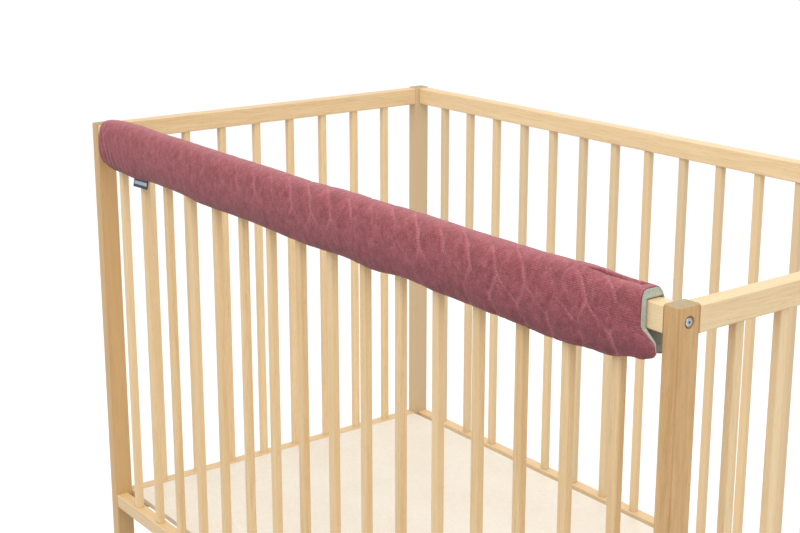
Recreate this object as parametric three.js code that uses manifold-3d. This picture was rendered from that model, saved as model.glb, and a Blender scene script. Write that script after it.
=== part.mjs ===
// A quilted velvet rail cover on the top rail of one long side of a plain beech crib.
// Millimetres, +Z up. The covered side faces -Y, and the crib stands on Z = 0.
import * as THREE from 'three';
import { mergeVertices } from 'three/addons/utils/BufferGeometryUtils.js';
import Module from 'manifold-3d';

const wasm = await Module();
wasm.setup();

// The crib: a plain slatted bed.
const CRIB = { length: 1240, width: 660, height: 800 };
const POST = { along: 20.5, across: 29, edge: 2 };
const RAIL = { height: 28.5, depth: 19.5, inset: 0.5, drop: 1.5, edge: 2 };
const LOW_RAIL = { height: 22.5, topAboveFloor: 170 };
const SLAT = { along: 12.4, deep: 12, edge: 3 };
const SIDE_SLATS = { count: 16, pitch: 71.5 };
const END_SLATS = { count: 8, pitch: 67.6 };
const BATTEN = { size: 20, topAboveFloor: 160, letIn: 1 };
const BASE = { thickness: 9, clearance: 2 };
const BOLT = { holeRadius: 5.2, holeDepth: 4, headRadius: 4.6, headHeight: 2.6, belowTop: 16 };
const SEAM = 0.3;
const GLUED = 2;
const CORNER_STEPS = 2;
const ROUND_STEPS = 16;

// The cover: a long padded strip folded over the rail, with its low edges drawn in to the slats.
const SHELL = { middle: 22, lipIn: 1.5, backShoulder: 2.3, lowShoulder: 2.3, topShare: 0.42, girth: 206,
  nudge: 0.01 };
const LINING = { thickness: 1.4, gap: 0.6, sideGap: 1, cornerGap: 1, cornerShare: 0.7, topGap: 0.6,
  lipHeight: 4.5, lipOut: 0.5, turnHeight: 11, sideTop: -5 };
const MOUTH = { depth: 12, edge: 1.8, gap: 1.4, onset: 8, tries: 200 };
const QUILT = { cell: 44, row: 45, meet: -33, drift: 0.35, held: 1.3, depth: 1.2, width: 4.6, puff: 0.4,
  fade: 0.12, endFade: 6 };
const GATHERS = { depth: 1.1, reach: 38, pitch: 14, slant: 3 };
const CREASE = { start: 1118, ramp: 25, fromY: 4, toY: 11, depth: 2, width: 2.6 };
const LEAD = { from: 24, to: 46 };
const STEP = { quilt: QUILT.cell / 4, gathers: 4.5, rightEnd: 7.5, mouth: 1.5 };
const RING = { outerHalf: 8 };
const LABEL = { x: 161, width: 45, drop: 12, thickness: 1, y: -0.6, tilt: -0.02 };

// Sections of the cover, at x from the crib's left end. front and back are how far it stands out past the
// rail's faces, top is its height over the rail, low its depth below the rail's top, and lead how far its
// low edge runs ahead of its top. square is how square its front shoulder is: 2 for a circle, more for a
// corner.
const SECTIONS = [
  { x: 33, front: 8.8, back: 8.6, top: 9.6, low: 48, lead: 0, square: 2.5 },
  { x: 42, front: 10.6, back: 9.6, top: 11.1, low: 55, lead: 0, square: 2.5 },
  { x: 54, front: 11.5, back: 9.5, top: 11.9, low: 58.5, lead: 0, square: 2.5 },
  { x: 72, front: 12.5, back: 10.5, top: 13.6, low: 62, lead: 0, square: 2.5 },
  { x: 100, front: 13, back: 11, top: 15, low: 62.5, lead: 0, square: 2.5 },
  { x: 150, front: 13, back: 11, top: 14.8, low: 64.5, lead: 0, square: 2.5 },
  { x: 190, front: 12.5, back: 11, top: 13.6, low: 61.5, lead: 0, square: 2.5 },
  { x: 225, front: 12.5, back: 11, top: 13.4, low: 61.3, lead: 0, square: 2.5 },
  { x: 260, front: 13, back: 11, top: 13.4, low: 60.8, lead: 0, square: 2.5 },
  { x: 300, front: 13.3, back: 11, top: 12.8, low: 62.3, lead: 0, square: 2.5 },
  { x: 340, front: 13.5, back: 11, top: 12.4, low: 66, lead: 0, square: 2.5 },
  { x: 460, front: 13, back: 11, top: 11.8, low: 65.3, lead: 0, square: 2.5 },
  { x: 520, front: 13.5, back: 11, top: 11.5, low: 66.6, lead: 0, square: 2.5 },
  { x: 610, front: 13, back: 11, top: 10.2, low: 69, lead: 0, square: 2.5 },
  { x: 700, front: 13.5, back: 11, top: 12.4, low: 67.3, lead: 0, square: 2.5 },
  { x: 760, front: 13, back: 11, top: 11.6, low: 69.6, lead: 0, square: 2.5 },
  { x: 820, front: 13.5, back: 11, top: 12.8, low: 65.6, lead: 0, square: 2.5 },
  { x: 880, front: 13, back: 11, top: 11.8, low: 68.2, lead: 0, square: 2.5 },
  { x: 1000, front: 12.5, back: 10.5, top: 11, low: 70.2, lead: 0, square: 2.5 },
  { x: 1070, front: 11.5, back: 10, top: 12, low: 72.5, lead: 0, square: 2.5 },
  { x: 1125, front: 11, back: 9, top: 13.6, low: 69.1, lead: 0, square: 2.7 },
  { x: 1155, front: 10.5, back: 8.5, top: 11.4, low: 68, lead: 1, square: 3.4 },
  { x: 1180, front: 9.5, back: 7.5, top: 11.2, low: 61.3, lead: 7, square: 4.6 },
  { x: 1191, front: 9, back: 8, top: 11.9, low: 57, lead: 12, square: 5.4 },
  { x: 1198, front: 8.8, back: 8, top: 12, low: 50, lead: 14, square: 6 },
];

const beech = new THREE.MeshStandardMaterial({ color: 0xe3c493, roughness: 0.55, metalness: 0 });
const board = new THREE.MeshStandardMaterial({ color: 0xefe8dc, roughness: 0.6, metalness: 0 });
const zinc = new THREE.MeshStandardMaterial({ color: 0xb9bcbd, roughness: 0.35, metalness: 0.9 });
const velvet = new THREE.MeshStandardMaterial({ color: 0xa85a63, roughness: 0.9, metalness: 0 });
const sageCotton = new THREE.MeshStandardMaterial({ color: 0x9ba297, roughness: 0.95, metalness: 0 });
const navyTape = new THREE.MeshStandardMaterial({ color: 0x26364f, roughness: 0.8, metalness: 0 });

const crib = new THREE.Group();
const railTop = CRIB.height - RAIL.drop;
const railBottom = railTop - RAIL.height;
const railMiddleY = RAIL.inset + RAIL.depth / 2;
const leftEnd = -CRIB.length / 2;

function addMesh(name, geometry, material) {
  const mesh = new THREE.Mesh(geometry, material);
  mesh.name = name;
  crib.add(mesh);
}

// A bar of the given section along Z, from z = 0 up, with softened long edges.
function bar(sizeX, sizeY, length, edge) {
  const x = sizeX / 2;
  const y = sizeY / 2;
  const shape = new THREE.Shape();
  shape.moveTo(-x + edge, -y);
  shape.lineTo(x - edge, -y);
  shape.quadraticCurveTo(x, -y, x, -y + edge);
  shape.lineTo(x, y - edge);
  shape.quadraticCurveTo(x, y, x - edge, y);
  shape.lineTo(-x + edge, y);
  shape.quadraticCurveTo(-x, y, -x, y - edge);
  shape.lineTo(-x, -y + edge);
  shape.quadraticCurveTo(-x, -y, -x + edge, -y);
  const options = { depth: length, bevelEnabled: false, curveSegments: CORNER_STEPS };
  return new THREE.ExtrudeGeometry(shape, options);
}

function barAlongX(length, height, depth, edge) {
  return bar(height, depth, length, edge).rotateY(Math.PI / 2).translate(-length / 2, 0, -height / 2);
}

function barAlongY(length, height, depth, edge) {
  return bar(depth, height, length, edge).rotateX(-Math.PI / 2).translate(0, -length / 2, -height / 2);
}

function toSolid(geometry) {
  const plain = geometry.clone();
  plain.deleteAttribute('normal');
  plain.deleteAttribute('uv');
  const merged = mergeVertices(plain, 1e-4);
  return new wasm.Manifold(new wasm.Mesh({
    numProp: 3,
    vertProperties: new Float32Array(merged.attributes.position.array),
    triVerts: new Uint32Array(merged.index.array),
  }));
}

function toGeometry(solid) {
  const mesh = solid.getMesh();
  const geometry = new THREE.BufferGeometry();
  geometry.setAttribute('position', new THREE.BufferAttribute(mesh.vertProperties, 3));
  geometry.setIndex(new THREE.BufferAttribute(mesh.triVerts, 1));
  return geometry;
}

// The four posts, each with a blind hole near its top and at its low rail for a sunk bolt head.
const boltHeights = {
  top: CRIB.height - BOLT.belowTop,
  low: LOW_RAIL.topAboveFloor - LOW_RAIL.height / 2,
};

function cylinderAlongX(radius, length) {
  return new THREE.CylinderGeometry(radius, radius, length, ROUND_STEPS).rotateZ(Math.PI / 2);
}

function addPost(name, side, y) {
  const x = side * (CRIB.length - POST.along) / 2;
  let solid = toSolid(bar(POST.along, POST.across, CRIB.height, POST.edge).translate(x, y, 0));
  for (const [place, z] of Object.entries(boltHeights)) {
    const outside = side * CRIB.length / 2;
    const hole = cylinderAlongX(BOLT.holeRadius, BOLT.holeDepth * 2).translate(outside, y, z);
    solid = solid.subtract(toSolid(hole));
    const seat = outside - side * (BOLT.holeDepth - SEAM - BOLT.headHeight / 2);
    const head = cylinderAlongX(BOLT.headRadius, BOLT.headHeight).translate(seat, y, z);
    addMesh(`bolt_${place}_${name}`, head, zinc);
  }
  addMesh(`post_${name}`, toGeometry(solid), beech);
}

const frontPostY = POST.across / 2;
const backPostY = CRIB.width - POST.across / 2;
addPost('front_left', -1, frontPostY);
addPost('front_right', 1, frontPostY);
addPost('back_left', -1, backPostY);
addPost('back_right', 1, backPostY);

// The two long sides: a top rail, a low rail and a row of slats between them.
function addLongSide(name, y) {
  const span = CRIB.length - 2 * (POST.along + SEAM);
  const topRail = barAlongX(span, RAIL.height, RAIL.depth, RAIL.edge);
  addMesh(`rail_top_${name}`, topRail.translate(0, y, railTop), beech);
  const lowRail = barAlongX(span, LOW_RAIL.height, RAIL.depth, RAIL.edge);
  addMesh(`rail_low_${name}`, lowRail.translate(0, y, LOW_RAIL.topAboveFloor), beech);
  const foot = LOW_RAIL.topAboveFloor + SEAM;
  const slatLength = railBottom - SEAM - foot;
  for (let i = 0; i < SIDE_SLATS.count; i += 1) {
    const x = (i - (SIDE_SLATS.count - 1) / 2) * SIDE_SLATS.pitch;
    const slat = bar(SLAT.along, SLAT.deep, slatLength, SLAT.edge).translate(x, y, foot);
    addMesh(`slat_${name}_${i + 1}`, slat, beech);
  }
}

addLongSide('front', railMiddleY);
addLongSide('back', CRIB.width - railMiddleY);

// The two ends: each a glued frame of top rail, slats and low rail, with a batten inside for the base.
function addEnd(name, side) {
  const span = CRIB.width - 2 * (POST.across + SEAM);
  const x = side * (CRIB.length - RAIL.depth) / 2;
  const y = CRIB.width / 2;
  const battenX = side * (CRIB.length / 2 - RAIL.depth - BATTEN.size / 2 + BATTEN.letIn);
  const low = LOW_RAIL.topAboveFloor - GLUED;
  const length = railBottom + GLUED - low;
  const pieces = [
    barAlongY(span, RAIL.height, RAIL.depth, RAIL.edge).translate(x, y, railTop),
    barAlongY(span, LOW_RAIL.height, RAIL.depth, RAIL.edge).translate(x, y, LOW_RAIL.topAboveFloor),
    barAlongY(span, BATTEN.size, BATTEN.size, RAIL.edge).translate(battenX, y, BATTEN.topAboveFloor),
  ];
  for (let i = 0; i < END_SLATS.count; i += 1) {
    const slatY = y + (i - (END_SLATS.count - 1) / 2) * END_SLATS.pitch;
    pieces.push(bar(SLAT.deep, SLAT.along, length, SLAT.edge).translate(x, slatY, low));
  }
  const frame = pieces.map(toSolid).reduce((whole, piece) => whole.add(piece));
  addMesh(`end_${name}`, toGeometry(frame), beech);
}

addEnd('left', -1);
addEnd('right', 1);

// The base is a loose board on the battens of the two ends.
const baseLength = CRIB.length - 2 * (RAIL.depth + BASE.clearance);
const baseWidth = CRIB.width - 2 * (POST.across + BASE.clearance);
const baseHeight = BATTEN.topAboveFloor + SEAM + BASE.thickness / 2;
addMesh(
  'mattress_base',
  new THREE.BoxGeometry(baseLength, baseWidth, BASE.thickness).translate(0, CRIB.width / 2, baseHeight),
  board,
);

// A column of the section table at x, on a smooth curve through its rows.
function columnAt(column, x) {
  const last = SECTIONS.length - 1;
  let i = 0;
  while (i < last - 1 && SECTIONS[i + 1].x < x) i += 1;
  const [a, b] = [SECTIONS[i], SECTIONS[i + 1]];
  const before = SECTIONS[Math.max(i - 1, 0)];
  const after = SECTIONS[Math.min(i + 2, last)];
  const span = b.x - a.x;
  const t = THREE.MathUtils.clamp((x - a.x) / span, 0, 1);
  const slopeA = (b[column] - before[column]) / (b.x - before.x) * span;
  const slopeB = (after[column] - a[column]) / (after.x - a.x) * span;
  const start = (2 * t ** 3 - 3 * t ** 2 + 1) * a[column] + (t ** 3 - 2 * t ** 2 + t) * slopeA;
  return start + (3 * t ** 2 - 2 * t ** 3) * b[column] + (t ** 3 - t ** 2) * slopeB;
}

function sectionAt(x) {
  const section = { x };
  const columns = ['front', 'back', 'top', 'low', 'lead', 'square'];
  for (const column of columns) section[column] = columnAt(column, x);
  return section;
}

// A point of the cover's smooth outside, from u = -1 at the front low edge over 0 at the top to 1 at the
// back low edge. y is from the rail's middle and z from the rail's top.
function outsidePoint(section, u) {
  const side = Math.sign(u) || 1;
  const share = Math.abs(u);
  const out = RAIL.depth / 2 + (side < 0 ? section.front : section.back);
  if (share <= SHELL.topShare) {
    const angle = share / SHELL.topShare * Math.PI / 2;
    const power = 2 / (side < 0 ? section.square : SHELL.backShoulder);
    const y = side * out * Math.sin(angle) ** power;
    const z = -SHELL.middle + (section.top + SHELL.middle) * Math.max(Math.cos(angle), 0) ** power;
    return new THREE.Vector2(y, z);
  }
  const angle = (share - SHELL.topShare) / (1 - SHELL.topShare) * Math.PI / 2;
  const power = 2 / SHELL.lowShoulder;
  const lip = RAIL.depth / 2 - SHELL.lipIn;
  const y = side * (lip + (out - lip) * Math.max(Math.cos(angle), 0) ** power);
  const z = -SHELL.middle - (section.low - SHELL.middle) * Math.sin(angle) ** power;
  return new THREE.Vector2(y, z);
}

function distanceToEnd(x) {
  return Math.min(x - SECTIONS[0].x, SECTIONS.at(-1).x - x);
}

// How far the quilting, the gathers at the left end and the crease on top lift or sink the outside.
function relief(x, u, y) {
  const along = u * SHELL.girth / 2;
  const shifted = x + QUILT.drift * along;
  const swing = QUILT.held * Math.cos(Math.PI * (along - QUILT.meet) / QUILT.row);
  const wave = QUILT.cell / 4 * THREE.MathUtils.clamp(swing, -1, 1);
  let nearest = QUILT.cell;
  const first = Math.floor(shifted / (QUILT.cell / 2)) - 1;
  for (let i = first; i < first + 4; i += 1) {
    const line = i * QUILT.cell / 2 + (i % 2 === 0 ? wave : -wave);
    nearest = Math.min(nearest, Math.abs(shifted - line));
  }
  const endFade = THREE.MathUtils.smoothstep(distanceToEnd(x), 0, QUILT.endFade);
  const fade = endFade * THREE.MathUtils.smoothstep(1 - Math.abs(u), 0, QUILT.fade);
  const quilt = fade * (QUILT.puff - QUILT.depth * Math.exp(-((nearest / QUILT.width) ** 2)));
  const fromEnd = x - SECTIONS[0].x;
  const gathers = GATHERS.depth * Math.exp(-fromEnd / GATHERS.reach)
    * Math.sin(2 * Math.PI * fromEnd / GATHERS.pitch + GATHERS.slant * u);
  const run = THREE.MathUtils.clamp((x - CREASE.start) / (SECTIONS.at(-1).x - CREASE.start), 0, 1);
  const creaseY = THREE.MathUtils.lerp(CREASE.fromY, CREASE.toY, run) - RAIL.depth / 2;
  const deep = THREE.MathUtils.smoothstep(x, CREASE.start, CREASE.start + CREASE.ramp);
  const onTop = Math.abs(u) < SHELL.topShare ? endFade : 0;
  const crease = onTop * deep * CREASE.depth * Math.exp(-(((y - creaseY) / CREASE.width) ** 2));
  return quilt + gathers * fade - crease;
}

// A point that stands off the smooth outside by the given distance, out for plus and in for minus.
function standingOff(section, u, distance) {
  const point = outsidePoint(section, u);
  const before = outsidePoint(section, Math.max(u - SHELL.nudge, -1));
  const after = outsidePoint(section, Math.min(u + SHELL.nudge, 1));
  const step = after.sub(before).normalize();
  return point.add(new THREE.Vector2(-step.y * distance, step.x * distance));
}

function outsideRun(section) {
  const run = [];
  const count = RING.outerHalf;
  for (let i = -count; i <= count; i += 1) {
    const u = i / count;
    run.push(standingOff(section, u, relief(section.x, u, outsidePoint(section, u).x)));
  }
  return run;
}

// The same open run of points, moved in by the given distance.
function movedIn(points, distance) {
  return points.map((point, i) => {
    const before = points[Math.max(i - 1, 0)];
    const after = points[Math.min(i + 1, points.length - 1)];
    const step = after.clone().sub(before).normalize();
    return point.clone().add(new THREE.Vector2(step.y * distance, -step.x * distance));
  });
}

// How far the mouth has opened: 0 along the cover and 1 at its two end seams.
function flareAt(x) {
  return 1 - THREE.MathUtils.smoothstep(distanceToEnd(x), 0, MOUTH.depth);
}

// The point nearest to the given one on a line just inside the outside, where the end seam runs.
function seamPoint(section, point) {
  const line = [];
  for (let i = -MOUTH.tries; i <= MOUTH.tries; i += 1) {
    const u = i / MOUTH.tries;
    const lift = relief(section.x, u, outsidePoint(section, u).x);
    line.push(standingOff(section, u, lift - MOUTH.edge));
  }
  return line.reduce((a, b) => (b.distanceTo(point) < a.distanceTo(point) ? b : a));
}

// The face between padding and lining: close round the rail, and flared to the seam at both ends.
function insideRun(section) {
  const wall = LINING.thickness + LINING.gap;
  const side = RAIL.depth / 2 + LINING.sideGap + wall;
  const cornerWall = LINING.cornerGap + wall * LINING.cornerShare;
  const corner = RAIL.depth / 2 + cornerWall;
  const lip = RAIL.depth / 2 - SHELL.lipIn + LINING.lipOut;
  const half = [
    [lip, -section.low + LINING.lipHeight],
    [side, -section.low + LINING.turnHeight],
    [side, LINING.sideTop],
    [corner, cornerWall],
    [corner / 2, LINING.topGap + wall],
  ];
  const front = half.map(([y, z]) => new THREE.Vector2(-y, z));
  const back = half.map(([y, z]) => new THREE.Vector2(y, z)).reverse();
  const run = [...front, new THREE.Vector2(0, LINING.topGap + wall), ...back];
  const flare = flareAt(section.x);
  if (flare === 0) return run;
  return run.map((point) => point.clone().lerp(seamPoint(section, point), flare));
}

// A closed solid through a ring of points at each section, capped at its two ends.
function sweep(sections, rings) {
  const count = rings[0].length;
  const positions = [];
  rings.forEach((ring, k) => {
    for (const point of ring) {
      const hang = THREE.MathUtils.smoothstep(-point.y, LEAD.from, LEAD.to);
      const x = leftEnd + sections[k].x + sections[k].lead * hang;
      positions.push(x, railMiddleY + point.x, railTop + point.y);
    }
  });
  const index = [];
  for (let k = 0; k < rings.length - 1; k += 1) {
    for (let i = 0; i < count; i += 1) {
      const j = (i + 1) % count;
      const [a, b, c, d] = [k * count + i, k * count + j, (k + 1) * count + j, (k + 1) * count + i];
      index.push(a, c, b, a, d, c);
    }
  }
  const capped = [[0, true], [rings.length - 1, false]];
  for (const [k, turned] of capped) {
    for (const [a, b, c] of THREE.ShapeUtils.triangulateShape(rings[k], [])) {
      const base = k * count;
      index.push(base + a, base + (turned ? c : b), base + (turned ? b : c));
    }
  }
  const geometry = new THREE.BufferGeometry();
  geometry.setAttribute('position', new THREE.Float32BufferAttribute(positions, 3));
  geometry.setIndex(index);
  return geometry;
}

// Where the cover is cut: close together at its two ends, and four cuts to a quilting cell between. Each
// stretch has an even number of steps, so that every second cut is shared with the lining.
function cutPlaces() {
  const first = SECTIONS[0].x;
  const last = SECTIONS.at(-1).x;
  const stretches = [
    { to: first + GATHERS.reach, step: STEP.gathers },
    { to: CREASE.start, step: STEP.quilt },
    { to: last - MOUTH.depth, step: STEP.rightEnd },
    { to: last, step: STEP.mouth },
  ];
  const places = [first];
  for (const { to, step } of stretches) {
    const from = places.at(-1);
    const count = Math.round((to - from) / step / 2) * 2;
    for (let i = 1; i <= count; i += 1) places.push(THREE.MathUtils.lerp(from, to, i / count));
  }
  return places;
}

const cuts = cutPlaces().map(sectionAt);
const insides = cuts.map(insideRun);
for (let k = 1; k < cuts.length - 1; k += 2) {
  insides[k] = insides[k - 1].map((point, i) => point.clone().lerp(insides[k + 1][i], 0.5));
}
const shellRings = cuts.map((section, k) => [...outsideRun(section), ...insides[k].toReversed()]);
addMesh('cover_shell', sweep(cuts, shellRings), velvet);

const liningCuts = cuts.filter((_, k) => k % 2 === 0);
const liningRings = liningCuts.map((section, k) => {
  const run = insides[2 * k];
  const gap = THREE.MathUtils.lerp(LINING.gap, MOUTH.gap, Math.min(flareAt(section.x) * MOUTH.onset, 1));
  return [...movedIn(run, gap), ...movedIn(run, gap + LINING.thickness).reverse()];
});
addMesh('cover_lining', sweep(liningCuts, liningRings), sageCotton);

// The blank woven tab, caught in the seam of the front low edge.
const tabTop = railTop - columnAt('low', LABEL.x) - SEAM;
addMesh(
  'label_tab',
  new THREE.BoxGeometry(LABEL.width, LABEL.thickness, LABEL.drop)
    .rotateY(LABEL.tilt)
    .translate(leftEnd + LABEL.x, LABEL.y, tabTop - LABEL.drop / 2),
  navyTape,
);

// The origin is on the floor, under the middle of the whole.
const object = new THREE.Group();
const bounds = new THREE.Box3().setFromObject(crib);
crib.position.set(0, -(bounds.min.y + bounds.max.y) / 2, 0);
object.add(crib);

export default object;
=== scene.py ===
"""A quilted velvet cover on the top rail of a plain beech crib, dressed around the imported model. Metres."""
import math

import bpy
import numpy as np
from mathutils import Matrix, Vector


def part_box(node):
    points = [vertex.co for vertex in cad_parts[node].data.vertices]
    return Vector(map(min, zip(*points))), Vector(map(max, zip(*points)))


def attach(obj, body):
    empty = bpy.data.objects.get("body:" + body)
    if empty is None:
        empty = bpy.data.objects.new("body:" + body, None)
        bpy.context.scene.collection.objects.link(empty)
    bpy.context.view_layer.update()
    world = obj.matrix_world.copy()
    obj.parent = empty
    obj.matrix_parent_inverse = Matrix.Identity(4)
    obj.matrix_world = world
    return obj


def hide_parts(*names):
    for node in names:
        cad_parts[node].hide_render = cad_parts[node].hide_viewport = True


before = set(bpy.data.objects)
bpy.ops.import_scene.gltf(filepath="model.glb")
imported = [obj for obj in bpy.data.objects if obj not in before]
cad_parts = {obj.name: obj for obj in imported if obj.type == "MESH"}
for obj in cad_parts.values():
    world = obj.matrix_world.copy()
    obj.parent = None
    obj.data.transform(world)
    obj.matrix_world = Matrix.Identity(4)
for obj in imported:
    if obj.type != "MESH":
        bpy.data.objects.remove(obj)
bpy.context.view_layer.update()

# THE CAMERA
# It stands in front of the covered side, past the right end and a little over rail height, and looks
# down along the cover to the far left post.
EYE = (1.4916, -1.3035, 1.2003)
LOOKS_ALONG = (-0.77378, 0.58282, -0.24817)
camera = bpy.data.objects.new("camera", bpy.data.cameras.new("camera"))
camera.data.sensor_width = 36
camera.data.lens = 65.53
camera.data.shift_y = -0.04
camera.data.clip_end = 200
camera.location = EYE
camera.rotation_euler = Vector(LOOKS_ALONG).to_track_quat("-Z", "Y").to_euler()
bpy.context.scene.collection.objects.link(camera)
bpy.context.scene.camera = camera
bpy.context.scene.view_settings.view_transform = "Standard"

# THE STUDIO
# A pale matt floor under a bright even room, with one wide soft lamp over the covered side, one at the
# right end and a weak one behind. None of it is part of the crib.
FLOOR_HALF = 45
FLOOR_BELOW_FEET = 0.0005
FLOOR_CORNERS = ((-1, -1), (1, -1), (1, 1), (-1, 1))
FROM_BELOW, FROM_THE_SIDE, FROM_ABOVE = (0.35, 0.34, 0.34, 1), (0.72, 0.72, 0.72, 1), (1, 1, 1, 1)
ROOM_STRENGTH = 1.1


def paint(red, green, blue):
    """A screen colour, 0 to 255, as the linear colour that a shader wants."""
    return tuple((c / 255 / 12.92 if c < 11 else ((c / 255 + 0.055) / 1.055) ** 2.4)
                 for c in (red, green, blue)) + (1,)


def add(tree, kind, inputs=None, **settings):
    """One shader node, with its settings, and each input a plain value or another node's output."""
    made = tree.nodes.new("ShaderNode" + kind)
    for name, value in settings.items():
        setattr(made, name, value)
    for name, value in (inputs or {}).items():
        if isinstance(value, bpy.types.NodeSocket):
            tree.links.new(value, made.inputs[name])
        else:
            made.inputs[name].default_value = value
    return made


def shader(name):
    """A new material, its node tree and its main shader."""
    made = bpy.data.materials.new(name)
    made.use_nodes = True
    return made, made.node_tree, made.node_tree.nodes["Principled BSDF"]


def noise(tree, at, scale, detail=3, roughness=0.5, distortion=0):
    inputs = {"Vector": at, "Scale": scale, "Detail": detail, "Roughness": roughness,
              "Distortion": distortion}
    return add(tree, "TexNoise", inputs).outputs["Fac"]


def ramp(tree, share, stops):
    """Colours at shares of 0 to 1, blended between."""
    made = add(tree, "ValToRGB", {"Fac": share})
    while len(made.color_ramp.elements) < len(stops):
        made.color_ramp.elements.new(0.5)
    for element, (place, colour) in zip(made.color_ramp.elements, stops):
        element.position = place
        element.color = colour
    return made.outputs["Color"]


def between(tree, value, low, high, to_low=0.0, to_high=1.0):
    inputs = {"Value": value, "From Min": low, "From Max": high, "To Min": to_low, "To Max": to_high}
    return add(tree, "MapRange", inputs, interpolation_type="SMOOTHSTEP").outputs["Result"]


floor_mesh = bpy.data.meshes.new("floor")
floor_mesh.from_pydata([(x * FLOOR_HALF, y * FLOOR_HALF, -FLOOR_BELOW_FEET) for x, y in FLOOR_CORNERS],
                       [], [(0, 1, 2, 3)])
floor = bpy.data.objects.new("floor", floor_mesh)
bpy.context.scene.collection.objects.link(floor)
floor_finish, floor_tree, floor_main = shader("studio_floor")
floor_speck = noise(floor_tree, add(floor_tree, "TexCoord").outputs["Object"], 30, 2)
floor_tree.links.new(ramp(floor_tree, floor_speck, [(0, paint(249, 249, 249)), (1, paint(252, 252, 252))]),
                     floor_main.inputs["Base Color"])
floor_main.inputs["Roughness"].default_value = 0.95
floor_main.inputs["Specular IOR Level"].default_value = 0
floor_mesh.materials.append(floor_finish)
floor.visible_diffuse = False

world = bpy.data.worlds.new("room")
world.use_nodes = True
room = world.node_tree
upward = add(room, "SeparateXYZ", {0: add(room, "TexCoord").outputs["Generated"]}).outputs[2]
glow = ramp(room, between(room, upward, -1, 1), [(0, FROM_BELOW), (0.5, FROM_THE_SIDE), (1, FROM_ABOVE)])
room.links.new(glow, room.nodes["Background"].inputs["Color"])
room.nodes["Background"].inputs["Strength"].default_value = ROOM_STRENGTH
bpy.context.scene.world = world


def lamp(name, place, aim, size, power):
    data = bpy.data.lights.new(name, "AREA")
    data.shape = "RECTANGLE"
    data.size, data.size_y = size
    data.energy = power
    made = bpy.data.objects.new(name, data)
    made.location = place
    made.rotation_euler = (Vector(aim) - Vector(place)).to_track_quat("-Z", "Y").to_euler()
    bpy.context.scene.collection.objects.link(made)


lamp("over_cover", (0.6, -1.6, 3.0), (0.1, -0.2, 0.7), (3.0, 1.6), 30)
lamp("right_end", (2.8, -0.4, 1.7), (0.3, 0.0, 0.6), (1.6, 1.6), 9)
lamp("behind", (-1.2, 2.4, 2.2), (0.0, 0.1, 0.6), (2.0, 1.2), 8)

# THE FOUR POSTS
# Square beech, planed, with softened edges, oiled a shade deeper than the rails. Near the top and at the
# low rail each has a round sunk hole for the bolt that draws the end frame in.
MM = 0.001
POST_EDGE = 2 * MM
POST_EASE = 0.9 * MM
CORNER_STEPS = 6
HOLE_RADIUS, HOLE_DEPTH = 6.6 * MM, 6 * MM
HOLE_HEIGHTS = (0.784, 0.15875)
HOLE_STEPS = 40
# From one log to the next, so that no two bars share a grain.
LOG_STEP = np.array([0.61, 0.37, 1.13])
# How strongly the edge mark shows: wear, and on the posts painted shade.
EDGE_WEAR_AND_SHADE_STRENGTH = 1.6
# The other two axes of a bar that runs along X, Y or Z, in right-handed order.
ACROSS = {0: (1, 2), 1: (2, 0), 2: (0, 1)}
PALEST_BEECH = paint(208, 188, 156)


def planed_bar(low, high, along, edge, ease):
    """Points and faces of one bar between two corners: long edges rounded, ends eased."""
    across = ACROSS[along]
    middle = [(low[i] + high[i]) / 2 for i in range(3)]
    half = [(high[i] - low[i]) / 2 for i in across]
    ring = []
    for corner in range(4):
        start = corner * math.pi / 2
        a = half[0] - edge if corner in (0, 3) else edge - half[0]
        b = half[1] - edge if corner in (0, 1) else edge - half[1]
        for step in range(CORNER_STEPS + 1):
            angle = start + step / CORNER_STEPS * math.pi / 2
            ring.append((a + edge * math.cos(angle), b + edge * math.sin(angle)))
    ends = ((0, ease), (0.12 * ease, 0.5 * ease), (0.5 * ease, 0.12 * ease), (ease, 0))
    cuts = [(low[along] + step, inset) for step, inset in ends]
    cuts += [(high[along] - step, inset) for step, inset in reversed(ends)]
    points = []
    for place, inset in cuts:
        for a, b in ring:
            point = [0, 0, 0]
            point[along] = place
            point[across[0]] = middle[across[0]] + a * (1 - inset / half[0])
            point[across[1]] = middle[across[1]] + b * (1 - inset / half[1])
            points.append(point)
    count = len(ring)
    faces = [tuple(reversed(range(count))), tuple(range(len(points) - count, len(points)))]
    for k in range(len(cuts) - 1):
        for i in range(count):
            j = (i + 1) % count
            faces.append((k * count + i, k * count + j, (k + 1) * count + j, (k + 1) * count + i))
    return points, faces


def grain_of(points, low, high, along, edge, seed):
    """Where each point lies in its own log, the grain along Z, and its edge mark for wear and, on the posts,
    painted shade: 1 on a long edge.
    """
    points = np.array(points, float).reshape(-1, 3)
    a, b = ACROSS[along]
    grain = points[:, [a, b, along]] + LOG_STEP * seed
    wear = []
    for i in (a, b):
        out = np.abs(points[:, i] - (low[i] + high[i]) / 2) - ((high[i] - low[i]) / 2 - edge)
        wear.append(np.clip(out / edge, 0, 1))
    return grain, np.minimum(*wear) * EDGE_WEAR_AND_SHADE_STRENGTH


def body(name, points, faces, finish, **marks):
    """A piece from points and faces, smooth, with named values kept at its points for its finish."""
    mesh = bpy.data.meshes.new(name)
    mesh.from_pydata([tuple(map(float, p)) for p in points], [], faces)
    for mark, values in marks.items():
        mark_points(mesh, mark, values)
    mesh.polygons.foreach_set("use_smooth", [True] * len(mesh.polygons))
    mesh.materials.append(finish)
    made = bpy.data.objects.new(name, mesh)
    bpy.context.scene.collection.objects.link(made)
    return made


def mark_points(mesh, mark, values):
    values = np.array(values, np.float32)
    kind, field = ("FLOAT_VECTOR", "vector") if values.ndim == 2 else ("FLOAT", "value")
    mesh.attributes.new(mark, kind, "POINT").data.foreach_set(field, values.ravel())


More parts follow.
